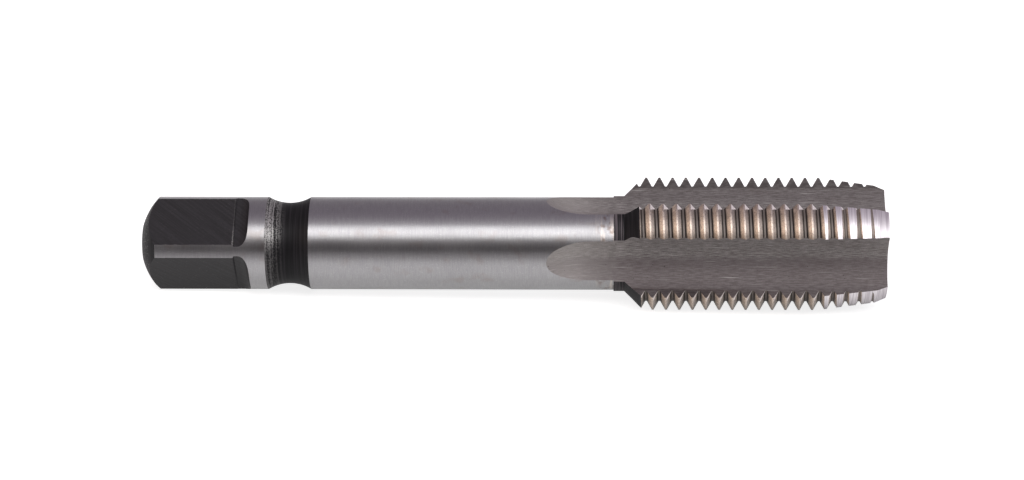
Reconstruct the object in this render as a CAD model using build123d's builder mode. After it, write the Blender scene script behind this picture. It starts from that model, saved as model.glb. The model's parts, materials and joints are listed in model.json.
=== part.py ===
"""A hand tap for a metric fine right-hand thread, M20 x 2: one piece of tool steel.

The tool is modelled on its own axis, +Z, from its shank end at zero to its cutting end. Seen from
the cutting end, it turns counter-clockwise as it cuts. It is then laid down as it comes to rest,
on two of its lands and one corner of its square, with its cutting end towards +X. The origin is
under its middle, on the surface that it lies on. Sizes are in millimetres and degrees.
"""

from build123d import *
from math import acos, atan2, ceil, cos, degrees, radians, sin, sqrt, tan
import os

# ---- driving dimensions -------------------------------------------------------------------
total_length = 112.0

# shank, with a domed end
shank_diameter = 14.0
dome_radius = 10.0
end_face_diameter = 6.0

# driving square, and the neck between its collar and the ground shank
square_across_flats = 11.2
square_length = 14.1
square_turn = -14.4  # from the middle of a flute to a corner of the square
undercut_depth = 0.17
undercut_length = 0.7
shoulder_radius = 1.6
neck_start = 18.9
neck_length = 6.5
neck_depth = 0.9

# body behind the thread, left as it was turned
grinding_allowance = 0.2
body_length = 1.6
body_cone_angle = 45.0

# thread
thread_diameter = 20.0
thread_length = 36.5
pitch = 2.0
flank_angle = 30.0
crest_flat = 0.25
root_flat = 0.25
first_groove_lead = 3.32  # from the first groove, in the middle of a flute, to the thread's start

# chamfer that leads the tap into its hole, a bevel at its end, and their relief
chamfer_length = 10.0
chamfer_angle = 7.5
bevel_length = 1.6
bevel_angle = 22.0
relief_angle = 3.0

# flutes
flute_count = 4
flute_angle = 57.4
core_diameter = 10.0
flute_length = 51.0
flute_cutter_radius = 12.5

# centre holes in both ends
centre_cone_diameter = 5.3
centre_cone_angle = 60.0
pilot_diameter = 2.5
pilot_depth = 4.5
pilot_tip_angle = 120.0

# how far a cutter reaches past the metal
air = 1.0

# ---- worked out from them -----------------------------------------------------------------
shank_radius = shank_diameter / 2
end_face_radius = end_face_diameter / 2
dome_depth = sqrt(dome_radius**2 - end_face_radius**2) - sqrt(dome_radius**2 - shank_radius**2)
body_radius = shank_radius + grinding_allowance
thread_radius = thread_diameter / 2
core_radius = core_diameter / 2
flat_distance = square_across_flats / 2

thread_start = total_length - thread_length
body_end = thread_start - (thread_radius - body_radius) / tan(radians(body_cone_angle))
body_start = body_end - body_length
neck_end = neck_start + neck_length

flute_spacing = 360 / flute_count
half_flute = flute_angle / 2
land_angle = flute_spacing - flute_angle
overhang = flute_angle / 6  # how far the land's cutters reach into the flutes beside it


def polar(radius, angle):
    return (radius * cos(radians(angle)), radius * sin(radians(angle)))


# ---- cutter for one flat of the square ----------------------------------------------------
# The flat ends in a shallow undercut, which a round shoulder lifts out of the metal.
flat_end = (flat_distance, square_length)
undercut_start = (flat_distance - undercut_depth, square_length + undercut_depth)
shoulder_start = (undercut_start[0], square_length + undercut_length)
shoulder_end = (shoulder_start[0] + shoulder_radius, shoulder_start[1] + shoulder_radius)
clear_of_shank = shank_radius + air

with BuildPart() as square_cutter:
    with BuildSketch(Plane.XZ):
        with BuildLine():
            RadiusArc(shoulder_start, shoulder_end, shoulder_radius)
            Polyline(
                shoulder_end,
                (clear_of_shank, shoulder_end[1]),
                (clear_of_shank, -air),
                (flat_distance, -air),
                flat_end,
                undercut_start,
                shoulder_start,
            )
        make_face()
    extrude(amount=shank_radius, both=True)


# ---- cutter for one flute -----------------------------------------------------------------
# A round bottom tangent to two sides that point at the axis, lifted out along the cutter's arc.
flute_centre = core_radius / (1 - sin(radians(half_flute)))
side_start = flute_centre * cos(radians(half_flute))
side_end = (thread_radius + air) / cos(radians(half_flute))
depth_left = flute_cutter_radius - (shank_radius - core_radius)
run_out = sqrt(flute_cutter_radius**2 - depth_left**2)
full_flute_start = total_length - flute_length + run_out

with BuildPart() as flute_cutter:
    with BuildSketch(Plane.XY.offset(full_flute_start)) as flute_section:
        with BuildLine():
            Line(polar(side_end, half_flute), polar(side_start, half_flute))
            ThreePointArc(
                polar(side_start, half_flute),
                (core_radius, 0),
                polar(side_start, -half_flute),
            )
            Line(polar(side_start, -half_flute), polar(side_end, -half_flute))
            Line(polar(side_end, -half_flute), polar(side_end, half_flute))
        make_face()
    extrude(amount=total_length + air - full_flute_start)
    revolve(
        flute_section.sketch,
        axis=Axis((core_radius + flute_cutter_radius, 0, full_flute_start), (0, 1, 0)),
        revolution_arc=-60,
    )


# ---- cutter for the chamfer and the bevel of one land -------------------------------------
# Both are cones round an axis beside the tap's own, so that they fall away behind the cutting
# edge, which is at angle zero here.
relief_offset = thread_radius * tan(radians(relief_angle))
relief_axis = Axis((0, relief_offset, 0), (0, 0, 1))
chamfer_start = total_length - chamfer_length
bevel_start = total_length - bevel_length
bevel_radius = thread_radius - (bevel_start - chamfer_start) * tan(radians(chamfer_angle))
bevel_end_radius = bevel_radius - bevel_length * tan(radians(bevel_angle))
cutter_end_radius = bevel_end_radius - air * tan(radians(bevel_angle))

with BuildPart() as chamfer_cutter:
    with BuildSketch(Plane.XZ.offset(-relief_offset)) as chamfer_section:
        with BuildLine():
            Polyline(
                (thread_radius, chamfer_start),
                (bevel_radius, bevel_start),
                (cutter_end_radius, total_length + air),
                (thread_radius + air, total_length + air),
                (thread_radius + air, chamfer_start),
                close=True,
            )
        make_face()
    for arc in (overhang, -land_angle - overhang):
        revolve(chamfer_section.sketch, axis=relief_axis, revolution_arc=arc)


# ---- cutter for one thread groove across one land -----------------------------------------
slope = tan(radians(flank_angle))
thread_depth = (pitch - crest_flat - root_flat) / 2 / slope
root_radius = thread_radius - thread_depth
mouth_radius = thread_radius + crest_flat / 4
half_root = root_flat / 2
half_mouth = half_root + (mouth_radius - root_radius) * slope
groove_angle = land_angle + 2 * overhang

with BuildPart() as groove_cutter:
    with BuildLine() as helix:
        Helix(pitch=pitch, height=pitch * groove_angle / 360, radius=root_radius)
    with BuildSketch(Plane.XZ):
        with BuildLine():
            Polyline(
                (root_radius, -half_root),
                (mouth_radius, -half_mouth),
                (mouth_radius, half_mouth),
                (root_radius, half_root),
                close=True,
            )
        make_face()
    sweep(path=helix.line, is_frenet=True)

# Every turn of the thread crosses every land, and rises by the pitch in one turn.
turns = ceil((thread_length + first_groove_lead) / pitch) + 1
groove_places = []
for land in range(flute_count):
    angle = half_flute - overhang + land * flute_spacing
    for turn in range(turns):
        height = thread_start - first_groove_lead + pitch * (turn + angle / 360)
        groove_places.append(Location((0, 0, height), (0, 0, angle)))


# ---- centre drill -------------------------------------------------------------------------
pilot_radius = pilot_diameter / 2
cone_depth = (centre_cone_diameter / 2 - pilot_radius) / tan(radians(centre_cone_angle / 2))
tip_depth = pilot_depth + pilot_radius / tan(radians(pilot_tip_angle / 2))

with BuildPart() as centre_drill:
    with BuildSketch(Plane.XZ):
        with BuildLine():
            Polyline(
                (0, 0),
                (centre_cone_diameter / 2, 0),
                (pilot_radius, cone_depth),
                (pilot_radius, pilot_depth),
                (0, tip_depth),
                close=True,
            )
        make_face()
    revolve(axis=Axis.Z)


# ---- the tool on its own axis -------------------------------------------------------------
with BuildPart() as tool:
    with BuildSketch(Plane.XZ):
        with BuildLine():
            Line((0, 0), (end_face_radius, 0))
            RadiusArc((end_face_radius, 0), (shank_radius, dome_depth), -dome_radius)
            Line((shank_radius, dome_depth), (shank_radius, neck_start))
            ThreePointArc(
                (shank_radius, neck_start),
                (shank_radius - neck_depth, (neck_start + neck_end) / 2),
                (shank_radius, neck_end),
            )
            Polyline(
                (shank_radius, neck_end),
                (shank_radius, body_start),
                (body_radius, body_start),
                (body_radius, body_end),
                (thread_radius, thread_start),
                (thread_radius, total_length),
                (0, total_length),
                (0, 0),
            )
        make_face()
    revolve(axis=Axis.Z)

    with PolarLocations(0, 4, start_angle=square_turn - 45):
        add(square_cutter.part, mode=Mode.SUBTRACT)
    with PolarLocations(0, flute_count):
        add(flute_cutter.part, mode=Mode.SUBTRACT)
    with PolarLocations(0, flute_count, start_angle=flute_spacing - half_flute):
        add(chamfer_cutter.part, mode=Mode.SUBTRACT)
    with Locations(*groove_places):
        add(groove_cutter.part, mode=Mode.SUBTRACT)
    with Locations((0, 0, 0), Location((0, 0, total_length), (180, 0, 0))):
        add(centre_drill.part, mode=Mode.SUBTRACT)


# ---- the tap as it lies -------------------------------------------------------------------
# The first flute is underneath, so the thread rests on the edges of the two lands beside it. The
# thinner shank tips down until the square's lowest corner or the collar behind it touches too.
lands_reach = thread_radius * cos(radians(half_flute))
corner_half_angle = 45 - degrees(acos(flat_distance / shank_radius))
corner_from_below = abs((square_turn + 45) % 90 - 45)
corner_reach = shank_radius * cos(radians(max(corner_from_below - corner_half_angle, 0)))
supports = [
    (dome_depth, corner_reach),
    (shoulder_end[1], shank_radius),
]
rest_tilt = min(atan2(lands_reach - reach, thread_start - place) for place, reach in supports)
shank_end_height = lands_reach * cos(rest_tilt) - thread_start * sin(rest_tilt)
tip_reach = bevel_end_radius * cos(radians(half_flute)) - end_face_radius
lying_length = total_length * cos(rest_tilt) + tip_reach * sin(rest_tilt)
lying = Plane(
    origin=(-lying_length / 2, 0, shank_end_height),
    x_dir=(sin(rest_tilt), 0, -cos(rest_tilt)),
    z_dir=(cos(rest_tilt), 0, sin(rest_tilt)),
)

with BuildPart() as tap:
    with Locations(lying):
        add(tool.part)

tap.part.label = "tap"
os.makedirs("parts", exist_ok=True)
export_step(tap.part, "parts/tap.step")
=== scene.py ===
# Dresses a thread tap: the turned, milled and ground surfaces of a hand tap for an M20 x 2 thread,
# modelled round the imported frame, with the finish that each step of its making leaves.
import json
import math

import bmesh
import bpy
from mathutils import Matrix, Vector, geometry


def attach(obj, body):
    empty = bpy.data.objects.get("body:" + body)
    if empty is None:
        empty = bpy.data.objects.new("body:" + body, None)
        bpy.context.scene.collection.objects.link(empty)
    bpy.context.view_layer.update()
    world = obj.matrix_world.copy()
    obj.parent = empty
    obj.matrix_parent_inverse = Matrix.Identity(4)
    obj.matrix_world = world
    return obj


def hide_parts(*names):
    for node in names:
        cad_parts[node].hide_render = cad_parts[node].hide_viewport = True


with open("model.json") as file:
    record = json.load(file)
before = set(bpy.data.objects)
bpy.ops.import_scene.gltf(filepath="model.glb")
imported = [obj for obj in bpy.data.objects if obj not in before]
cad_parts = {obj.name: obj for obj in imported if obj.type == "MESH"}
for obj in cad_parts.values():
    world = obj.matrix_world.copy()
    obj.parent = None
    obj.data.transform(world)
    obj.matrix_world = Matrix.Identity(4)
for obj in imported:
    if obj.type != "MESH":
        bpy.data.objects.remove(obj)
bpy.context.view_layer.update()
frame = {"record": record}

bl_info = {
    "name": "Thread tap",
    "version": (1, 0, 0),
    "blender": (4, 5, 0),
    "location": "View3D > Sidebar > Tap",
    "description": "Models a hand tap with its ground, milled and blackened surfaces",
    "category": "Add Mesh",
}

MM = 0.001
REST_MOUNT = next(m for m in frame["record"]["mounts"] if m["name"] == "shank_centre")
SHANK_END = Vector(REST_MOUNT["pos_m"])
ALONG = -Vector(REST_MOUNT["axis"])
REST_TILT = math.atan2(ALONG.z, ALONG.x)

FLATS = 4
FLUTES = 4
# Half the angle between the flanks of a metric thread.
FLANK = math.radians(30)
# Half the angle of a centre hole, and half the point angle of the drill under it.
CENTRE_CONE = math.radians(30)
DRILL_POINT = math.radians(60)
# Angle that the painted highlight at the heel of a thread takes at the crest.
HEEL_HIGHLIGHT_ANGLE = math.radians(5.8)
# Straight part of a cutting face, from its edge, and the direction from the middle of the flute's
# round bottom in which the curve to that face starts.
HOOK_DEPTH = 1.6 * MM
HOOK_START = math.radians(210)
# How far the flutes' cutter swings out of the metal at their run-out.
SWING = math.radians(60)

# Steps of each curve, fine enough that no corner shows.
TURN_STEPS = 256
DOME_STEPS = 12
NECK_STEPS = 24
SHOULDER_STEPS = 10
FLUTE_STEPS = 34
HOOK_STEPS = 5
SWING_STEPS = 48
THREAD_STEPS = 128
LAND_STEPS = 48
DRILL_STEPS = 64

# Points that are closer than this become one.
MERGE = 0.001 * MM
# How far a cutter reaches past the metal.
AIR = 1.0 * MM
# Faces that meet at less than this are one smooth surface.
SMOOTH_ANGLE = math.radians(6)

# Side of the square table, in metres: it reaches past every view's edge.
TABLE_SIDE = 8.0
# A mask that leaves nothing out.
EVERYWHERE = 1.0
# Tones of the room by degrees of elevation, from the horizon in front to the one behind.
ROOM_TONES = (
    (0, "#4E4A4C"),
    (28, "#726E72"),
    (50, "#E6E2E6"),
    (68, "#F4F0F6"),
    (80, "#D8D0DA"),
    (95, "#B6ACB8"),
    (115, "#B0A6B2"),
    (150, "#B6AEB6"),
    (170, "#CCC6CC"),
    (180, "#FFFFFF"),
)


def linear(hex_colour):
    """Turns an sRGB hex colour into linear red, green, blue and alpha."""
    shares = [int(hex_colour[i : i + 2], 16) / 255 for i in (1, 3, 5)]
    red, green, blue = (
        share / 12.92 if share <= 0.04045 else ((share + 0.055) / 1.055) ** 2.4
        for share in shares
    )
    return red, green, blue, 1.0


# ---- sizes and colours -----------------------------------------------------------------------


def length(name, description, millimetres):
    """A property for a length."""
    return bpy.props.FloatProperty(
        name=name,
        description=description,
        default=millimetres * MM,
        min=0,
        precision=5,
        unit="LENGTH",
    )


def angle(name, description, degrees):
    """A property for an angle."""
    return bpy.props.FloatProperty(
        name=name, description=description, default=math.radians(degrees), unit="ROTATION"
    )


def colour(name, description, hex_colour):
    """A property for a colour."""
    return bpy.props.FloatVectorProperty(
        name=name,
        description=description,
        default=linear(hex_colour),
        size=4,
        min=0,
        max=1,
        subtype="COLOR",
    )


class TapSizes(bpy.types.PropertyGroup):
    """Sizes of the tap, as its maker's drawing gives them."""

    total_length: length("Length", "Whole length of the tap", 112)
    shank_diameter: length("Shank diameter", "Diameter of the ground shank", 14)
    dome_radius: length("Dome radius", "Radius of the domed shank end", 10)
    end_face_diameter: length("End face", "Diameter of the flat face on the dome", 6)
    square_across_flats: length("Square", "Driving square across its flats", 11.2)
    square_length: length("Square length", "Length of the flats", 14.1)
    square_turn: angle("Square turn", "From the middle of a flute to a corner", -14.4)
    undercut_depth: length("Undercut depth", "Depth of the groove that ends a flat", 0.17)
    undercut_length: length("Undercut length", "Length of that groove", 0.7)
    shoulder_radius: length("Shoulder radius", "Radius of the shoulder past a flat", 1.6)
    neck_start: length("Neck start", "From the shank end to the neck", 18.9)
    neck_length: length("Neck length", "Length of the turned neck", 6.5)
    neck_depth: length("Neck depth", "Depth of the turned neck", 0.9)
    body_diameter: length("Body diameter", "Turned body behind the thread", 14.4)
    body_length: length("Body length", "Length of the turned body", 1.6)
    thread_diameter: length("Thread diameter", "Outer diameter of the thread", 20)
    thread_length: length("Thread length", "Length of the thread with its chamfer", 36.5)
    pitch: length("Pitch", "From one crest to the next", 2)
    crest_flat: length("Crest flat", "Width of a crest", 0.25)
    root_flat: length("Root flat", "Width of a root", 0.25)
    groove_lead: length("Groove lead", "From the first groove to the thread", 3.32)
    chamfer_length: length("Chamfer length", "Length of the leading chamfer", 10)
    chamfer_angle: angle("Chamfer angle", "Slope of the leading chamfer", 7.5)
    bevel_length: length("Bevel length", "Length of the bevel at the tip", 1.6)
    bevel_angle: angle("Bevel angle", "Slope of the bevel at the tip", 22)
    relief_angle: angle("Relief", "How fast the chamfer falls away behind its edge", 3)
    flute_angle: angle("Flute angle", "Angle that one flute takes from the thread", 57.4)
    rake_angle: angle("Rake", "Hook of the cutting faces, from the line to the axis", 15)
    core_diameter: length("Core", "Diameter of the metal left between flutes", 10)
    flute_length: length("Flute length", "Length of the flutes with their run-out", 51)
    cutter_radius: length("Cutter radius", "Radius of the wheel that ground the flutes", 12.5)
    centre_diameter: length("Centre hole", "Mouth of the centre hole in each end", 5.3)
    pilot_diameter: length("Pilot hole", "Diameter of the hole under the centre", 2.5)
    pilot_depth: length("Pilot depth", "Depth of the hole under the centre", 4.5)


class TapColours(bpy.types.PropertyGroup):
    """Colours of the tap's finishes and of the studio."""

    ground: colour("Ground steel", "Steel of the ground shank", "#A2A1A2")
    oxide: colour("Black oxide", "Blackened skin left by hardening", "#232124")
    bare: colour("Bare steel", "Steel where the black skin is rubbed off", "#A8A6A4")
    flute: colour("Flute steel", "Steel of the wheel-ground flutes", "#A19C9A")
    # This straw cream is painted light too: it goes only on the flanks that face the shank, the
    # lit side, and the others get a grey.
    thread: colour("Thread steel", "Steel of the ground thread, warmed to straw", "#DCC8B6")
    chamfer: colour("Chamfer steel", "Steel of the freshly ground chamfer", "#E8E4E6")
    table: colour("Table", "Table that the tap lies on", "#C0C0C0")


# ---- modelling -------------------------------------------------------------------------------


def body_end(sizes):
    """Where the turned body ends and its cone rises to the thread, at 45 degrees."""
    cone_length = (sizes.thread_diameter - sizes.body_diameter) / 2
    return sizes.total_length - sizes.thread_length - cone_length


def body_start(sizes):
    """Where the ground shank ends and the turned body starts."""
    return body_end(sizes) - sizes.body_length


def thread_depth(sizes):
    """How deep the thread's grooves are below its crests."""
    return (sizes.pitch - sizes.crest_flat - sizes.root_flat) / 2 / math.tan(FLANK)


def polar(radius, turn, height):
    """A point at a radius and an angle round the tap's own axis, +Z."""
    return Vector((radius * math.cos(turn), radius * math.sin(turn), height))


def arc(centre, radius, start, end, steps):
    """Points of an arc in the plane of a profile or a section."""
    x, y = centre
    turns = [start + (end - start) * i / steps for i in range(steps + 1)]
    return [(x + radius * math.cos(turn), y + radius * math.sin(turn)) for turn in turns]


def draw(name, points):
    """Draws a line from point to point, from one vertex. Edit mode stays on, with all selected."""
    bpy.ops.object.select_all(action="DESELECT")
    bpy.ops.mesh.primitive_plane_add(size=MM, location=(0, 0, 0))
    piece = bpy.context.object
    piece.name = name
    bpy.ops.object.mode_set(mode="EDIT")
    bpy.ops.mesh.select_mode(type="VERT")
    bpy.ops.mesh.merge(type="CENTER")
    bpy.ops.transform.translate(value=points[0])
    for here, there in zip(points, points[1:]):
        move = {"value": Vector(there) - Vector(here)}
        bpy.ops.mesh.extrude_vertices_move(TRANSFORM_OT_translate=move)
    bpy.ops.mesh.select_all(action="SELECT")
    return piece


def draw_face(name, points):
    """Draws a closed outline and fills it."""
    piece = draw(name, [*points, points[0]])
    bpy.ops.mesh.remove_doubles(threshold=MERGE)
    bpy.ops.mesh.edge_face_add()
    return piece


def choose_faces(piece, wanted):
    """Selects, in edit mode, the faces that a test holds for."""
    bpy.ops.mesh.select_mode(type="FACE")
    bpy.ops.mesh.select_all(action="DESELECT")
    shape = bmesh.from_edit_mesh(piece.data)
    for face in shape.faces:
        face.select_set(wanted(face))
    bmesh.update_edit_mesh(piece.data)


def turn_round(turn, steps, centre=(0, 0, 0), axis=(0, 0, 1)):
    """Sweeps what is selected round an axis. The operator itself counts clockwise."""
    bpy.ops.mesh.spin(steps=steps, angle=-turn, center=centre, axis=axis)


def repeat_round(count):
    """Copies the whole mesh evenly round the tap's own axis."""
    bpy.ops.mesh.select_all(action="SELECT")
    copies = count - 1
    turn = math.tau * copies / count
    bpy.ops.mesh.spin(steps=copies, angle=turn, center=(0, 0, 0), axis=(0, 0, 1), dupli=True)


def close_up():
    """Merges seams and poles, turns all faces outwards and leaves edit mode."""
    bpy.ops.mesh.select_all(action="SELECT")
    bpy.ops.mesh.remove_doubles(threshold=MERGE)
    bpy.ops.mesh.normals_make_consistent(inside=False)
    bpy.ops.object.mode_set(mode="OBJECT")


def paint(piece, material):
    """Gives the whole piece one material."""
    piece.data.materials.clear()
    piece.data.materials.append(material)


def paint_blank(blank, sizes, ground, turned, thread):
    """Paints the ground shank, the thread's crests, and what is left as it was turned."""
    materials = (ground, turned, thread)
    for material in materials:
        blank.data.materials.append(material)
    on_shank = 0.01 * MM
    near_crest = 0.1 * MM
    radius = sizes.shank_diameter / 2
    for face in blank.data.polygons:
        reaches = [math.hypot(*blank.data.vertices[v].co.xy) for v in face.vertices]
        if min(reaches) > sizes.thread_diameter / 2 - near_crest:
            material = thread
        elif all(abs(reach - radius) < on_shank for reach in reaches):
            material = ground
        else:
            material = turned
        face.material_index = materials.index(material)


def cut(piece, cutter):
    """Takes the cutter away from the piece. The new faces keep the cutter's material."""
    taking = piece.modifiers.new("cut", "BOOLEAN")
    taking.operation = "DIFFERENCE"
    taking.solver = "MANIFOLD"
    taking.material_mode = "TRANSFER"
    taking.object = cutter
    bpy.ops.object.select_all(action="DESELECT")
    bpy.context.view_layer.objects.active = piece
    piece.select_set(True)
    bpy.ops.object.modifier_apply(modifier=taking.name)
    bpy.data.objects.remove(cutter)


def lay_down(tap):
    """Turns the tap's own +Z along its resting axis, with the first flute underneath."""
    along = Vector((math.cos(REST_TILT), 0, math.sin(REST_TILT)))
    down = Vector((math.sin(REST_TILT), 0, -math.cos(REST_TILT)))
    lying = Matrix((down, (0, 1, 0), along)).transposed().to_4x4()
    lying.translation = SHANK_END
    tap.matrix_world = lying
    bpy.ops.object.transform_apply(location=True, rotation=True, scale=True)


def check_closed(piece):
    """Raises an error unless every edge of the piece has two faces."""
    shape = bmesh.new()
    shape.from_mesh(piece.data)
    closed = all(edge.is_manifold for edge in shape.edges)
    shape.free()
    if not closed or not piece.data.polygons:
        raise RuntimeError(f"The mesh of {piece.name} is not closed.")


def make_blank(sizes):
    """The bar as turned and ground, before anything is cut into it."""
    radius = sizes.shank_diameter / 2
    end_radius = sizes.end_face_diameter / 2
    neck_end = sizes.neck_start + sizes.neck_length
    dome_start = math.asin(end_radius / sizes.dome_radius)
    dome_end = math.asin(radius / sizes.dome_radius)
    quarter = math.pi / 2
    dome = arc(
        (0, sizes.dome_radius * math.cos(dome_start)),
        sizes.dome_radius,
        dome_start - quarter,
        dome_end - quarter,
        DOME_STEPS,
    )
    neck_radius = ((sizes.neck_length / 2) ** 2 + sizes.neck_depth**2) / (2 * sizes.neck_depth)
    neck_half = math.asin(sizes.neck_length / 2 / neck_radius)
    neck_middle = (radius - sizes.neck_depth + neck_radius, (sizes.neck_start + neck_end) / 2)
    neck = arc(neck_middle, neck_radius, math.pi + neck_half, math.pi - neck_half, NECK_STEPS)
    body_radius = sizes.body_diameter / 2
    outline = [
        (0, 0),
        *dome,
        *neck,
        (radius, body_start(sizes)),
        (body_radius, body_start(sizes)),
        (body_radius, body_end(sizes)),
        (sizes.thread_diameter / 2, sizes.total_length - sizes.thread_length),
        (sizes.thread_diameter / 2, sizes.total_length),
        (0, sizes.total_length),
    ]
    blank = draw("tap_steel", [(r, 0, z) for r, z in outline])
    turn_round(math.tau, TURN_STEPS)
    close_up()
    return blank


def make_square_cutter(sizes):
    """What a milling cutter takes off for the four flats of the driving square."""
    flat = sizes.square_across_flats / 2
    floor = flat - sizes.undercut_depth
    groove_end = sizes.square_length + sizes.undercut_length
    clear = sizes.shank_diameter / 2 + AIR
    shoulder_middle = (floor + sizes.shoulder_radius, groove_end)
    shoulder = arc(
        shoulder_middle, sizes.shoulder_radius, math.pi, math.pi / 2, SHOULDER_STEPS
    )
    outline = [
        (flat, -AIR),
        (flat, sizes.square_length),
        (floor, sizes.square_length + sizes.undercut_depth),
        *shoulder,
        (clear, shoulder[-1][1]),
        (clear, -AIR),
    ]
    half = sizes.shank_diameter / 2
    turned = Matrix.Rotation(sizes.square_turn - math.pi / FLATS, 3, "Z")
    cutter = draw_face("square_cutter", [turned @ Vector((x, -half, z)) for x, z in outline])
    across = {"value": turned @ Vector((0, 2 * half, 0))}
    bpy.ops.mesh.extrude_region_move(TRANSFORM_OT_translate=across)
    repeat_round(FLATS)
    close_up()
    return cutter


def make_flute_cutter(sizes):
    """The four flutes: a round bottom between a heel that points at the axis and a hooked face."""
    half = sizes.flute_angle / 2
    core = sizes.core_diameter / 2
    centre = core / (1 - math.sin(half))
    side = (sizes.thread_diameter / 2 + AIR) / math.cos(half)
    shank_depth = sizes.shank_diameter / 2 - core
    run_out = math.sqrt(sizes.cutter_radius**2 - (sizes.cutter_radius - shank_depth) ** 2)
    start = sizes.total_length - sizes.flute_length + run_out
    bottom = arc((centre, 0), centre - core, math.pi / 2 + half, HOOK_START, FLUTE_STEPS)
    # The cutting face hooks in behind its edge, and curves into the bottom.
    edge = Vector(polar(sizes.thread_diameter / 2, -half, 0)).to_2d()
    inwards = Vector(polar(1, math.pi - half + sizes.rake_angle, 0)).to_2d()
    face_end = edge + inwards * HOOK_DEPTH
    leaving = Vector((-math.sin(HOOK_START), math.cos(HOOK_START)))
    last = Vector(bottom[-1])
    past_edge = edge - inwards * 1.5 * AIR
    reach = sizes.thread_diameter / 2
    bend = geometry.intersect_line_line_2d(
        last, last + leaving * reach, edge, edge + inwards * reach
    )
    if bend is None:
        raise ValueError("The cutting face does not meet the flute's bottom: use less rake.")
    shares = [step / HOOK_STEPS for step in range(1, HOOK_STEPS + 1)]
    hook = [last * (1 - t) ** 2 + bend * 2 * t * (1 - t) + face_end * t**2 for t in shares]
    outline = [
        polar(side, half, start),
        *[(x, y, start) for x, y in bottom],
        *[(x, y, start) for x, y in hook],
        (*past_edge, start),
    ]
    cutter = draw_face("flute_cutter", outline)
    # The wheel leaves the metal along its own round, and runs straight to the tip.
    turn_round(SWING, SWING_STEPS, (core + sizes.cutter_radius, 0, start), (0, -1, 0))
    choose_faces(cutter, lambda face: all(abs(v.co.z - start) < MERGE for v in face.verts))
    rest = {"value": (0, 0, sizes.total_length + AIR - start)}
    bpy.ops.mesh.extrude_region_move(TRANSFORM_OT_translate=rest)
    repeat_round(FLUTES)
    close_up()
    return cutter


def make_groove_cutter(sizes):
    """The helical groove between the crests, along the whole thread."""
    outer = sizes.thread_diameter / 2
    root = outer - thread_depth(sizes)
    # The groove's sides go on a little past the crests.
    mouth = outer + sizes.crest_flat / 4
    low = sizes.total_length - sizes.thread_length - sizes.groove_lead
    half_root = sizes.root_flat / 2
    half_mouth = half_root + (mouth - root) * math.tan(FLANK)
    cutter = draw_face(
        "groove_cutter",
        [
            (root, 0, low - half_root),
            (mouth, 0, low - half_mouth),
            (mouth, 0, low + half_mouth),
            (root, 0, low + half_root),
        ],
    )
    bpy.ops.object.mode_set(mode="OBJECT")
    winding = cutter.modifiers.new("winding", "SCREW")
    winding.angle = math.tau
    winding.screw_offset = sizes.pitch
    winding.iterations = math.ceil((sizes.thread_length + sizes.groove_lead) / sizes.pitch) + 1
    winding.steps = winding.render_steps = THREAD_STEPS
    winding.use_merge_vertices = False
    bpy.ops.object.modifier_apply(modifier=winding.name)
    bpy.ops.object.mode_set(mode="EDIT")
    # Both ends of the groove are still open.
    bpy.ops.mesh.select_all(action="SELECT")
    bpy.ops.mesh.fill_holes(sides=4)
    close_up()
    return cutter


def make_chamfer_cutter(sizes):
    """The leading chamfer and the bevel at the tip, ground land by land with relief."""
    outer = sizes.thread_diameter / 2
    start = sizes.total_length - sizes.chamfer_length
    bevel_start = sizes.total_length - sizes.bevel_length
    bevel_radius = outer - (bevel_start - start) * math.tan(sizes.chamfer_angle)
    end_radius = bevel_radius - (sizes.bevel_length + AIR) * math.tan(sizes.bevel_angle)
    aside = Vector((0, outer * math.tan(sizes.relief_angle), 0))
    # The cutter reaches this far into the flutes on both sides of a land.
    into_flute = sizes.flute_angle / 6
    land = math.tau / FLUTES - sizes.flute_angle
    # The first cutting edge stands at this angle, and the others follow evenly.
    edge = math.tau / FLUTES - sizes.flute_angle / 2
    outline = [
        (outer, start),
        (bevel_radius, bevel_start),
        (end_radius, sizes.total_length + AIR),
        (outer + AIR, sizes.total_length + AIR),
        (outer + AIR, start),
    ]
    turned = Matrix.Rotation(edge, 3, "Z")
    first = -land - into_flute
    points = [turned @ (aside + polar(r, first, z)) for r, z in outline]
    cutter = draw_face("chamfer_cutter", points)
    turn_round(land + 2 * into_flute, LAND_STEPS, turned @ aside)
    repeat_round(FLUTES)
    close_up()
    return cutter


def make_centre_drill(sizes):
    """The centre holes that both ends are held by for grinding."""
    pilot = sizes.pilot_diameter / 2
    mouth = sizes.centre_diameter / 2
    cone = (mouth - pilot) / math.tan(CENTRE_CONE)
    point = sizes.pilot_depth + pilot / math.tan(DRILL_POINT)
    outline = [
        (0, -AIR),
        (mouth + AIR * math.tan(CENTRE_CONE), -AIR),
        (pilot, cone),
        (pilot, sizes.pilot_depth),
        (0, point),
    ]
    drill = draw("centre_drill", [(r, 0, z) for r, z in outline])
    turn_round(math.tau, DRILL_STEPS)
    bpy.ops.mesh.select_all(action="SELECT")
    bpy.ops.mesh.remove_doubles(threshold=MERGE)
    # A half turn about a crossing axis makes the drill for the other end.
    middle = (0, 0, sizes.total_length / 2)
    bpy.ops.mesh.spin(steps=1, angle=math.pi, center=middle, axis=(1, 0, 0), dupli=True)
    close_up()
    return drill


# ---- materials -------------------------------------------------------------------------------
# The patterns of a finish read places in millimetres on the tap, and a few sizes in millimetres.


def add_node(tree, kind, inputs=None, **settings):
    """Adds a node, sets its properties, and sets or links its inputs."""
    node = tree.nodes.new(kind)
    for name, value in settings.items():
        setattr(node, name, value)
    for name, value in (inputs or {}).items():
        socket = node.inputs[name]
        if isinstance(value, bpy.types.NodeSocket):
            tree.links.new(value, socket)
        else:
            socket.default_value = value
    return node


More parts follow.
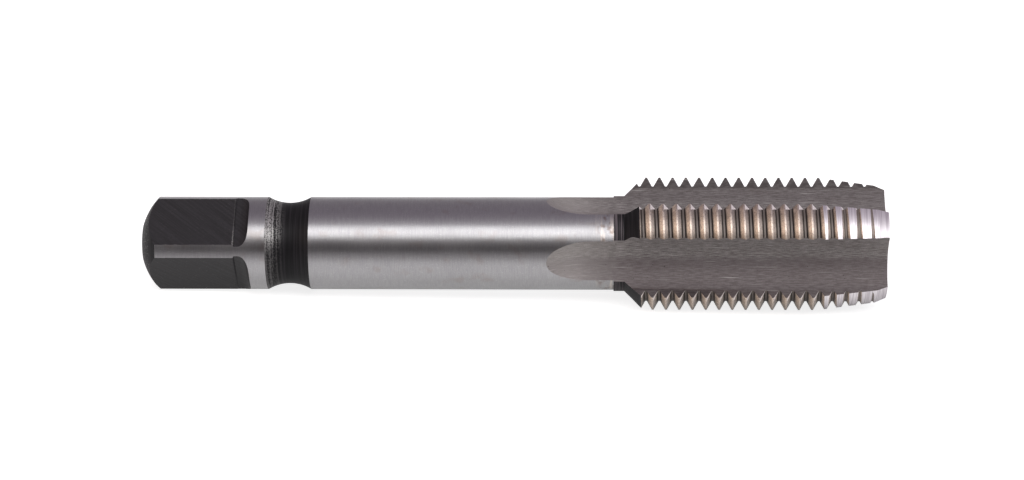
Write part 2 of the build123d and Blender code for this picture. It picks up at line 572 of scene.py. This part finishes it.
def new_material(name, roughness, metallic=1.0):
    """An empty material with its Principled shader."""
    made = bpy.data.materials.new(name)
    made.use_nodes = True
    shader = made.node_tree.nodes["Principled BSDF"]
    shader.inputs["Roughness"].default_value = roughness
    shader.inputs["Metallic"].default_value = metallic
    return made.node_tree, shader, made


def place_on_tap(tree):
    """The place on the tap in millimetres: x along its axis from the shank end, y and z across.

    Gives it whole, and then as those three parts.
    """
    place = add_node(
        tree,
        "ShaderNodeMapping",
        {
            "Vector": add_node(tree, "ShaderNodeTexCoord").outputs["Object"],
            "Location": SHANK_END,
            "Rotation": (0, -REST_TILT, 0),
            "Scale": (MM, MM, MM),
        },
        vector_type="TEXTURE",
    ).outputs["Vector"]
    parts = add_node(tree, "ShaderNodeSeparateXYZ", {"Vector": place}).outputs
    return place, (parts["X"], parts["Y"], parts["Z"])


def radius_of(tree, y, z):
    """The distance from the tap's axis."""
    across = add_node(tree, "ShaderNodeCombineXYZ", {"Y": y, "Z": z}).outputs["Vector"]
    return add_node(
        tree, "ShaderNodeVectorMath", {0: across}, operation="LENGTH"
    ).outputs["Value"]


def turn_of(tree, y, z):
    """The angle round the tap's axis, from the middle of the flute underneath."""
    down = add_node(tree, "ShaderNodeMath", {0: z, 1: -1.0}, operation="MULTIPLY")
    return add_node(
        tree, "ShaderNodeMath", {0: y, 1: down.outputs[0]}, operation="ARCTAN2"
    ).outputs[0]


def grain(tree, place, along, across, detail=2.0, seed=0.0):
    """Noise whose cells are this many millimetres along and across the tap."""
    cells = add_node(
        tree,
        "ShaderNodeMapping",
        {
            "Vector": place,
            "Location": (seed, seed, seed),
            "Scale": (1 / along, 1 / across, 1 / across),
        },
    ).outputs["Vector"]
    return add_node(
        tree, "ShaderNodeTexNoise", {"Vector": cells, "Scale": 1.0, "Detail": detail}
    ).outputs["Fac"]


def limit(tree, mask, value, ends, shares=(0.0, 1.0)):
    """Limits a mask by a value: between its ends, the share goes from the first to the second."""
    share = add_node(
        tree,
        "ShaderNodeMapRange",
        {
            "Value": value,
            "From Min": ends[0],
            "From Max": ends[1],
            "To Min": shares[0],
            "To Max": shares[1],
        },
        interpolation_type="SMOOTHSTEP",
    ).outputs["Result"]
    return add_node(
        tree, "ShaderNodeMath", {0: share, 1: mask}, operation="MULTIPLY"
    ).outputs[0]


def band(tree, value, rise, fall):
    """A mask that goes from zero to one between the ends of the rise, and back in the fall."""
    return limit(tree, limit(tree, EVERYWHERE, value, rise), value, fall)


def lay_where(tree, under, over, pattern, ends, most=1.0, mask=EVERYWHERE):
    """Lays a colour over another as the pattern goes from end to end, up to the given share."""
    share = limit(tree, mask, pattern, ends, (0.0, most))
    # A Mix node has the share of its second colour at input 0, and its colours at 6 and 7.
    return add_node(
        tree, "ShaderNodeMix", {0: share, 6: under, 7: over}, data_type="RGBA"
    ).outputs[2]


def stretch_gloss(tree, shader, amount, along):
    """Stretches the gloss across the grinding lines: along the tap, or round it."""
    round_axis = add_node(tree, "ShaderNodeTangent", direction_type="RADIAL", axis="X")
    tree.links.new(round_axis.outputs["Tangent"], shader.inputs["Tangent"])
    shader.inputs["Anisotropic"].default_value = amount
    shader.inputs["Anisotropic Rotation"].default_value = 0.25 if along else 0.0


def finish(tree, shader, tone, relief, depth):
    """Gives the shader its colour, and raises its surface by a pattern, in millimetres."""
    tree.links.new(tone, shader.inputs["Base Color"])
    raised = add_node(tree, "ShaderNodeBump", {"Height": relief, "Distance": depth * MM})
    tree.links.new(raised.outputs["Normal"], shader.inputs["Normal"])


def make_ground_steel(sizes, colours):
    """High speed steel, cylindrically ground: satin, with fine lines round the shank.

    The lines smear the softbox into one long glint along the shank, and the stains break it.
    """
    tree, shader, made = new_material("hss_cylindrical_ground", 0.39)
    place, (x, _, _) = place_on_tap(tree)
    # Real grinding lines are 0.02 mm apart and short; these are drawn five times coarser to show.
    lines = grain(tree, place, 0.10, 1.6, detail=3.0)
    sparkle = grain(tree, place, 0.16, 0.16, detail=1.0, seed=7.0)
    drift = grain(tree, place, 6.0, 5.0, seed=3.0)
    tone = lay_where(tree, linear("#989799"), colours.ground, lines, (0.3, 0.7))
    tone = lay_where(tree, tone, linear("#C8C6C8"), sparkle, (0.55, 0.8), 0.35)
    # Old oil has dried into faint stains, most of them beside the body.
    stain = grain(tree, place, 2.5, 2.5, detail=3.0, seed=11.0)
    tone = lay_where(tree, tone, linear("#8C8078"), stain, (0.56, 0.72), 0.3)
    body = body_start(sizes) / MM
    near_body = limit(tree, EVERYWHERE, x, (body - 3.6, body - 1.1))
    streak = grain(tree, place, 0.35, 4.0, seed=13.0)
    tone = lay_where(tree, tone, linear("#D2C8BE"), streak, (0.5, 0.7), 0.6, near_body)
    blot = grain(tree, place, 0.9, 1.4, seed=17.0)
    tone = lay_where(tree, tone, linear("#6E5A50"), blot, (0.52, 0.66), 0.6, near_body)
    satin = limit(tree, EVERYWHERE, drift, (0.3, 0.7), (0.36, 0.41))
    tree.links.new(satin, shader.inputs["Roughness"])
    stretch_gloss(tree, shader, 0.7, along=True)
    finish(tree, shader, tone, sparkle, 0.004)
    return made


def make_turned_oxide(sizes, colours):
    """Black oxide from hardening over turned steel: dull black, with ridges round the tap.

    It is rubbed bare beside the collar, which gives the neck its bright specks.
    """
    tree, shader, made = new_material("hss_turned_oxide", 0.5)
    place, (x, _, z) = place_on_tap(tree)
    # Turning marks stand 0.2 mm apart, as a finishing cut leaves them.
    lines = grain(tree, place, 0.2, 12.0, seed=4.0)
    tone = lay_where(tree, linear("#111012"), colours.oxide, lines, (0.42, 0.72))
    # The body's turning lines are painted lighter: the lines are real marks, and the extra
    # lightness on top is a painted sheen where the light falls.
    start = body_start(sizes) / MM
    end = start + sizes.body_length / MM
    body = band(tree, x, (start - 1.1, start - 0.1), (end + 0.2, end - 0.1))
    body = limit(tree, body, z, (2.0, 6.5), (0.5, 1.0))
    tone = lay_where(tree, tone, linear("#625A5E"), lines, (0.42, 0.58), 1.0, body)
    # Hands and holders rub the collar's side of the neck, and most of all on top.
    collar = sizes.neck_start / MM
    rubbed = band(tree, x, (collar - 1.9, collar - 0.9), (collar + 3.5, collar + 0.5))
    rubbed = limit(tree, rubbed, z, (1.0, 3.6), (0.35, 0.8))
    specks = grain(tree, place, 0.16, 0.2, seed=5.0)
    marks = add_node(tree, "ShaderNodeMath", {0: lines, 1: specks}, operation="ADD").outputs[0]
    rubbed = limit(tree, rubbed, marks, (0.88, 1.15), (0.08, 0.95))
    # The domed end is chafed in specks, and single nicks are everywhere.
    chafed = band(tree, x, (0.2, 0.5), (1.6, 1.2))
    chafed = limit(tree, chafed, specks, (0.56, 0.66), (0.0, 0.35))
    nicks = grain(tree, place, 0.3, 0.25, detail=3.0, seed=9.0)
    nicks = limit(tree, 0.3, nicks, (0.72, 0.78))
    for spots in (chafed, nicks):
        rubbed = add_node(
            tree, "ShaderNodeMath", {0: rubbed, 1: spots}, operation="MAXIMUM"
        ).outputs[0]
    tone = lay_where(tree, tone, colours.bare, rubbed, (0.0, 1.0))
    tree.links.new(rubbed, shader.inputs["Metallic"])
    gloss = limit(tree, EVERYWHERE, rubbed, (0.0, 1.0), (0.5, 0.34))
    tree.links.new(gloss, shader.inputs["Roughness"])
    shader.inputs["Specular IOR Level"].default_value = 0.15
    finish(tree, shader, tone, lines, 0.004)
    return made


def make_milled_oxide(sizes, colours):
    """Black oxide over milled steel: dull black flats, brought to life by slanting cutter marks.

    Thin bare lines at its step and edges make the square read as worn metal.
    """
    tree, shader, made = new_material("hss_milled_oxide", 0.5)
    place, (x, y, z) = place_on_tap(tree)
    squared = add_node(
        tree,
        "ShaderNodeMapping",
        {"Vector": place, "Rotation": (-math.pi / FLATS - sizes.square_turn, 0, 0)},
    ).outputs["Vector"]
    slant = math.radians(40)
    slanting = add_node(
        tree,
        "ShaderNodeVectorMath",
        {0: squared, 1: (math.sin(slant), math.cos(slant), math.cos(slant))},
        operation="DOT_PRODUCT",
    ).outputs["Value"]
    slanting = add_node(tree, "ShaderNodeCombineXYZ", {"X": slanting, "Y": x}).outputs["Vector"]
    # The cutter's marks stand 0.15 mm apart, the feed of each of its teeth.
    lines = grain(tree, slanting, 0.15, 9.0, detail=0.0)
    specks = grain(tree, place, 0.16, 0.16, seed=5.0)
    tone = lay_where(tree, linear("#171517"), colours.oxide, lines, (0.35, 0.65))
    tone = lay_where(tree, tone, linear("#4A4648"), specks, (0.6, 0.72), 0.5)
    # The step at the end of a flat has rubbed bare where a wrench slides on.
    step = sizes.square_length / MM
    rubbed = band(tree, x, (step - 0.2, step - 0.05), (step + 0.18, step + 0.02))
    rubbed = limit(tree, rubbed, z, (5.4, 2.2), (0.2, 0.9))
    rubbed = limit(tree, rubbed, z, (1.0, 2.0))
    # So have the long edges of the flats, here and there.
    corner = sizes.shank_diameter / 2 / MM
    edge = limit(tree, 0.5, radius_of(tree, y, z), (corner - 0.08, corner))
    here_and_there = grain(tree, place, 0.7, 0.7, detail=3.0, seed=8.0)
    edge = limit(tree, edge, here_and_there, (0.42, 0.62))
    rubbed = add_node(
        tree, "ShaderNodeMath", {0: rubbed, 1: edge}, operation="MAXIMUM"
    ).outputs[0]
    rubbed = limit(tree, rubbed, specks, (0.3, 0.6))
    tone = lay_where(tree, tone, colours.bare, rubbed, (0.0, 1.0))
    tree.links.new(rubbed, shader.inputs["Metallic"])
    shader.inputs["Specular IOR Level"].default_value = 0.4
    finish(tree, shader, tone, lines, 0.003)
    return made


def make_flute_steel(sizes, colours):
    """High speed steel, flutes ground with a formed wheel: matt grey, with long streaks.

    The gloss spreads round the tap, so the flutes stay even and darker than the shank.
    """
    tree, shader, made = new_material("hss_flute_ground", 0.62)
    place, (x, y, z) = place_on_tap(tree)
    # Across a flute is y in the upper and lower ones, and z in the two beside them.
    size_y = add_node(tree, "ShaderNodeMath", {0: y}, operation="ABSOLUTE").outputs[0]
    size_z = add_node(tree, "ShaderNodeMath", {0: z}, operation="ABSOLUTE").outputs[0]
    upright = add_node(
        tree, "ShaderNodeMath", {0: size_z, 1: size_y}, operation="GREATER_THAN"
    ).outputs[0]
    width = add_node(
        tree, "ShaderNodeMix", {0: upright, 2: z, 3: y}, data_type="FLOAT"
    ).outputs[0]
    unrolled = add_node(tree, "ShaderNodeCombineXYZ", {"X": x, "Y": width}).outputs["Vector"]
    # Wheel marks are drawn 0.1 and 0.2 mm apart, several times coarser than real ones.
    fine = grain(tree, unrolled, 1.3, 0.11)
    streaks = grain(tree, unrolled, 5.0, 0.2, seed=21.0)
    broad = grain(tree, unrolled, 12.0, 1.4, seed=5.0)
    dots = grain(tree, place, 0.2, 0.2, detail=1.0, seed=15.0)
    tone = lay_where(tree, linear("#7C7775"), colours.flute, fine, (0.38, 0.62))
    tone = lay_where(tree, tone, linear("#6A6462"), dots, (0.45, 0.65), 0.3)
    tone = lay_where(tree, tone, linear("#686260"), streaks, (0.5, 0.75), 0.4)
    tone = lay_where(tree, tone, linear("#746A68"), broad, (0.4, 0.7), 0.2)
    # Painted shade darkens the heel's side of each of the four flutes.
    fourfold = add_node(
        tree, "ShaderNodeMath", {0: turn_of(tree, y, z), 1: FLUTES}, operation="MULTIPLY"
    ).outputs[0]
    heel = add_node(tree, "ShaderNodeMath", {0: fourfold}, operation="SINE").outputs[0]
    tone = lay_where(tree, tone, linear("#685E60"), heel, (-0.6, 0.5), 0.6)
    # Painted shade darkens the flute that is on top.
    tone = lay_where(tree, tone, linear("#5A5254"), z, (4.5, 6.5), 0.5)
    # The run-out is lighter, most of all at its shallow end towards the shank.
    start = (sizes.total_length - sizes.flute_length) / MM
    tone = lay_where(tree, tone, linear("#C4C0BC"), x, (start + 13, start + 2), 0.35)
    scratches = grain(tree, unrolled, 7.0, 0.13, detail=1.0, seed=31.0)
    tone = lay_where(tree, tone, linear("#CFCBC8"), scratches, (0.68, 0.76), 0.5)
    pits = grain(tree, place, 0.4, 0.28, detail=1.0, seed=9.0)
    tone = lay_where(tree, tone, linear("#3E3836"), pits, (0.74, 0.80), 0.7)
    stretch_gloss(tree, shader, 0.7, along=False)
    finish(tree, shader, tone, fine, 0.0025)
    return made


def make_thread_steel(sizes, colours):
    """High speed steel, thread ground and then warmed to a pale straw.

    The left flanks are painted creamy as if lit and the right ones grey, the roots carry
    painted shade, and painted highlights stand at the heels, so that every tooth reads by itself.
    """
    tree, shader, made = new_material("hss_thread_ground", 0.48)
    place, (x, y, z) = place_on_tap(tree)
    specks = grain(tree, place, 0.14, 0.2)
    patches = grain(tree, place, 0.5, 0.9, seed=3.0)
    # Below zero on the flanks that face the shank, and above it on those that face the tip.
    sideways = add_node(
        tree,
        "ShaderNodeVectorMath",
        {0: add_node(tree, "ShaderNodeTexCoord").outputs["Normal"], 1: ALONG},
        operation="DOT_PRODUCT",
    ).outputs["Value"]
    # Painted light: the flanks that face the shank get the warm cream of the lit side, and those
    # that face the tip a painted grey.
    tone = lay_where(tree, colours.thread, linear("#C6BEB8"), sideways, (-0.5, 0.5))
    tone = lay_where(tree, tone, linear("#A8988C"), patches, (0.5, 0.7), 0.4)
    tone = lay_where(tree, tone, linear("#857870"), specks, (0.5, 0.66), 0.6)

    # The cutting edges, at the far side of each land, are darker from use.
    spacing = math.tau / FLUTES
    heel_angle = sizes.flute_angle / 2
    edge_angle = spacing - heel_angle
    turn = add_node(
        tree,
        "ShaderNodeMath",
        {0: turn_of(tree, y, z), 1: spacing, 2: 0.0},
        operation="WRAP",
    ).outputs[0]
    worn = (edge_angle - 0.17, edge_angle - 0.02)
    tone = lay_where(tree, tone, linear("#75675D"), turn, worn, 0.45)

    # Painted shade darkens the roots. Where the chamfer has lowered the crests, light reaches
    # further in, so the painted shade is shallower there.
    crest = sizes.thread_diameter / 2 / MM
    root = crest - thread_depth(sizes) / MM
    radius = radius_of(tree, y, z)
    chamfer = (sizes.total_length - sizes.chamfer_length) / MM
    opened = limit(tree, 0.4, x, (chamfer - 1, chamfer + 7))
    lit = add_node(tree, "ShaderNodeMath", {0: radius, 1: opened}, operation="ADD").outputs[0]
    tone = lay_where(tree, tone, linear("#332C2A"), lit, (root + 0.6, root + 0.25))

    # A painted highlight at each land's heel, widest at the crest and gone at the root, on the
    # flanks that face the tip, stands for the light that they mirror there.
    height = add_node(
        tree,
        "ShaderNodeMapRange",
        {"Value": radius, "From Min": root - 0.1, "From Max": crest},
    ).outputs["Result"]
    past_heel = add_node(
        tree,
        "ShaderNodeMath",
        {0: turn, 1: 1 / HEEL_HIGHLIGHT_ANGLE, 2: -heel_angle / HEEL_HIGHLIGHT_ANGLE},
        operation="MULTIPLY_ADD",
    ).outputs[0]
    inside = add_node(
        tree, "ShaderNodeMath", {0: height, 1: past_heel}, operation="SUBTRACT"
    ).outputs[0]
    heel_highlight = limit(tree, limit(tree, EVERYWHERE, inside, (-0.03, 0.03)), sideways, (0.2, 0.5))
    tone = lay_where(tree, tone, linear("#FFF8F6"), heel_highlight, (0.0, 1.0))
    # A painted reflection lightens the very bottom of the groove, the root's flat, inside the
    # painted shade.
    tone = lay_where(tree, tone, linear("#8C827C"), radius, (root + 0.06, root + 0.02), 0.7)

    # The painted shade in the roots is also less metallic, so that it stays dark.
    metal = limit(tree, EVERYWHERE, lit, (root + 0.2, root + 0.6), (0.35, 1.0))
    # The painted heel highlight is half as metallic, so that its pale colour shows brighter.
    metal = limit(tree, metal, heel_highlight, (0.0, 1.0), (1.0, 0.5))
    tree.links.new(metal, shader.inputs["Metallic"])
    stretch_gloss(tree, shader, 0.85, along=True)
    finish(tree, shader, tone, specks, 0.012)
    return made


def make_chamfer_steel(colours):
    """High speed steel, chamfer ground last: the brightest part, with fine lines round the tap."""
    tree, shader, made = new_material("hss_chamfer_ground", 0.46)
    place, _ = place_on_tap(tree)
    # Real lines are 0.03 mm apart, and drawn five times coarser to show.
    lines = grain(tree, place, 0.16, 8.0, detail=3.0)
    tone = lay_where(tree, linear("#C8C2C6"), colours.chamfer, lines, (0.35, 0.65))
    stretch_gloss(tree, shader, 0.6, along=True)
    finish(tree, shader, tone, lines, 0.002)
    return made


def make_table_paint(colours):
    """White table paint that stays white in the picture and keeps the tap's shadow."""
    tree, shader, made = new_material("white_table_paint", 0.9, metallic=0.0)
    shader.inputs["Base Color"].default_value = colours.table
    shader.inputs["Emission Color"].default_value = (1, 1, 1, 1)
    place = add_node(tree, "ShaderNodeTexCoord").outputs["Object"]
    parts = add_node(tree, "ShaderNodeSeparateXYZ", {"Vector": place}).outputs
    away = add_node(tree, "ShaderNodeMath", {0: parts["Y"]}, operation="ABSOLUTE").outputs[0]
    # What steel mirrors of the table glows less where a shadow is painted right under the tap, and
    # fades out as a painted falloff towards the front. The painted shadow is deeper under the
    # thread, which lies on the table, than under the raised shank.
    under_tap = limit(tree, EVERYWHERE, parts["X"], (12 * MM, 22 * MM), (0.44, 0.2))
    mirrored = limit(tree, EVERYWHERE, away, (4 * MM, 12 * MM), (under_tap, 0.68))
    mirrored = limit(tree, mirrored, parts["Y"], (-16 * MM, -50 * MM), (1.0, 0.04))
    rays = add_node(tree, "ShaderNodeLightPath").outputs
    in_mirror = add_node(
        tree,
        "ShaderNodeMath",
        {0: rays["Is Glossy Ray"], 1: rays["Is Transmission Ray"]},
        operation="MAXIMUM",
    ).outputs[0]
    # It glows for the camera and for what steel mirrors, and sheds no light on the tap.
    seen = add_node(
        tree, "ShaderNodeMath", {0: rays["Is Camera Ray"], 1: 0.8}, operation="MULTIPLY"
    ).outputs[0]
    glow = add_node(
        tree,
        "ShaderNodeMath",
        {0: in_mirror, 1: mirrored, 2: seen},
        operation="MULTIPLY_ADD",
    ).outputs[0]
    tree.links.new(glow, shader.inputs["Emission Strength"])
    return made


def make_room():
    """The room round the table: dark in front and to the left, brightest over the front edge."""
    room = bpy.data.worlds.new("studio_room")
    room.use_nodes = True
    tree = room.node_tree
    ray = add_node(tree, "ShaderNodeTexCoord").outputs["Generated"]
    parts = add_node(tree, "ShaderNodeSeparateXYZ", {"Vector": ray}).outputs
    front = add_node(tree, "ShaderNodeMath", {0: parts["Y"], 1: -1.0}, operation="MULTIPLY")
    lift = add_node(
        tree, "ShaderNodeMath", {0: parts["Z"], 1: front.outputs[0]}, operation="ARCTAN2"
    )
    share = add_node(tree, "ShaderNodeMath", {0: lift.outputs[0], 1: math.pi}, operation="DIVIDE")
    ramp = add_node(tree, "ShaderNodeValToRGB", {"Fac": share.outputs[0]})
    marks = ramp.color_ramp.elements
    while len(marks) < len(ROOM_TONES):
        marks.new(0.5)
    for mark, (degrees, hex_colour) in zip(marks, ROOM_TONES):
        mark.position = degrees / 180
        mark.color = linear(hex_colour)
    strength = limit(tree, EVERYWHERE, parts["X"], (-0.7, 0.2), (0.5, 1.0))
    light = tree.nodes["Background"]
    tree.links.new(ramp.outputs["Color"], light.inputs["Color"])
    tree.links.new(strength, light.inputs["Strength"])
    return room


# ---- the stage -------------------------------------------------------------------------------


def hang_lamp(name, place, rotation, width, height, brightness, tint="#FFFFFF"):
    """Hangs a rectangular lamp, whose power grows with its size so that it stays as bright."""
    bpy.ops.object.light_add(type="AREA", location=place, rotation=rotation)
    lamp = bpy.context.object
    lamp.name = name
    lamp.data.shape = "RECTANGLE"
    lamp.data.size = width
    lamp.data.size_y = height
    lamp.data.color = linear(tint)[:3]
    lamp.data.energy = brightness * math.pi * width * height


def hang_softbox():
    """The main light: a long softbox over the front of the table, reaching far to the right."""
    elevation = math.radians(53)
    reach = 0.9
    to_the_right = 0.36
    place = (to_the_right, -reach * math.cos(elevation), reach * math.sin(elevation))
    rotation = (math.pi / 2 - elevation, 0, 0)
    hang_lamp("softbox", place, rotation, width=1.4, height=0.42, brightness=2.95)


def hang_side_lamp():
    """A small warm lamp on the left, which lights the left flanks of the thread."""
    place = Vector((-0.80, -0.28, 0.38))
    rotation = place.to_track_quat("Z", "Y").to_euler()
    warm = "#FFEBDC"
    hang_lamp("side_lamp", place, rotation, width=0.4, height=0.4, brightness=3.6, tint=warm)


def set_up_camera(scene):
    """Looks down square at the tap's axis, but for a small turn towards its cutting end."""
    lift = math.radians(25.1)
    turn = math.radians(1.38)
    roll = math.radians(0.1)
    distance = 463.6 * MM
    aim_along = 55.74 * MM
    aim_up = 0.50 * MM
    right = ALONG
    away = Vector((-ALONG.z * math.sin(lift), -math.cos(lift), ALONG.x * math.sin(lift)))
    up = away.cross(right)
    aim = SHANK_END + aim_along * right + aim_up * up
    turned = Matrix.Rotation(turn, 3, up)
    right, away = turned @ right, turned @ away
    rolled = Matrix.Rotation(roll, 3, away)
    right, up = rolled @ right, rolled @ up
    view = Matrix((right, up, away)).transposed().to_4x4()
    view.translation = aim + distance * away

    camera_data = bpy.data.cameras.new("camera")
    camera_data.lens = 107.7
    camera_data.sensor_width = 36
    camera_data.clip_start = 10 * MM
    camera = bpy.data.objects.new("camera", camera_data)
    camera.matrix_world = view
    scene.collection.objects.link(camera)
    scene.camera = camera


# ---- operators -------------------------------------------------------------------------------


class TAP_OT_make_tap(bpy.types.Operator):
    """Turns, mills and grinds the tap, and lays it down as it rests"""

    bl_idname = "tap.make_tap"
    bl_label = "Make the tap"

    def execute(self, context):
        sizes = context.scene.tap_sizes
        colours = context.scene.tap_colours
        tap = make_blank(sizes)
        ground = make_ground_steel(sizes, colours)
        turned = make_turned_oxide(sizes, colours)
        thread = make_thread_steel(sizes, colours)
        paint_blank(tap, sizes, ground, turned, thread)
        cuts = (
            (make_square_cutter(sizes), make_milled_oxide(sizes, colours)),
            (make_flute_cutter(sizes), make_flute_steel(sizes, colours)),
            (make_groove_cutter(sizes), thread),
            (make_chamfer_cutter(sizes), make_chamfer_steel(colours)),
            (make_centre_drill(sizes), turned),
        )
        for cutter, material in cuts:
            paint(cutter, material)
            cut(tap, cutter)
        # Where cuts cross, they leave edges far shorter than a thousandth of a millimetre.
        bpy.ops.object.mode_set(mode="EDIT")
        close_up()
        lay_down(tap)
        check_closed(tap)
        bpy.ops.object.shade_smooth_by_angle(angle=SMOOTH_ANGLE)
        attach(tap, "root")
        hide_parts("tap")
        return {"FINISHED"}


class TAP_OT_make_stage(bpy.types.Operator):
    """Sets the white table, the lamps and the camera round the tap"""

    bl_idname = "tap.make_stage"
    bl_label = "Make the stage"

    def execute(self, context):
        bpy.ops.object.select_all(action="DESELECT")
        bpy.ops.mesh.primitive_plane_add(size=TABLE_SIDE, location=(0, 0, 0))
        table = context.object
        table.name = "table"
        paint(table, make_table_paint(context.scene.tap_colours))
        context.scene.world = make_room()
        hang_softbox()
        hang_side_lamp()
        set_up_camera(context.scene)
        return {"FINISHED"}


class TAP_PT_panel(bpy.types.Panel):
    """Lists what can be made, and its sizes and colours"""

    bl_label = "Thread tap"
    bl_space_type = "VIEW_3D"
    bl_region_type = "UI"
    bl_category = "Tap"

    def draw(self, context):
        for operator in OPERATORS:
            self.layout.operator(operator.bl_idname)
        for group in (context.scene.tap_sizes, context.scene.tap_colours):
            for name in group.bl_rna.properties.keys():
                if name not in ("rna_type", "name"):
                    self.layout.prop(group, name)


OPERATORS = (TAP_OT_make_tap, TAP_OT_make_stage)
CLASSES = (TapSizes, TapColours, *OPERATORS, TAP_PT_panel)


def register():
    for kind in CLASSES:
        bpy.utils.register_class(kind)
    bpy.types.Scene.tap_sizes = bpy.props.PointerProperty(type=TapSizes)
    bpy.types.Scene.tap_colours = bpy.props.PointerProperty(type=TapColours)


def unregister():
    del bpy.types.Scene.tap_colours
    del bpy.types.Scene.tap_sizes
    for kind in reversed(CLASSES):
        bpy.utils.unregister_class(kind)


def main():
    """Makes the tap and its stage."""
    register()
    bpy.ops.tap.make_tap()
    bpy.ops.tap.make_stage()
    bpy.context.scene.view_settings.view_transform = "Standard"


if __name__ == "__main__":
    main()
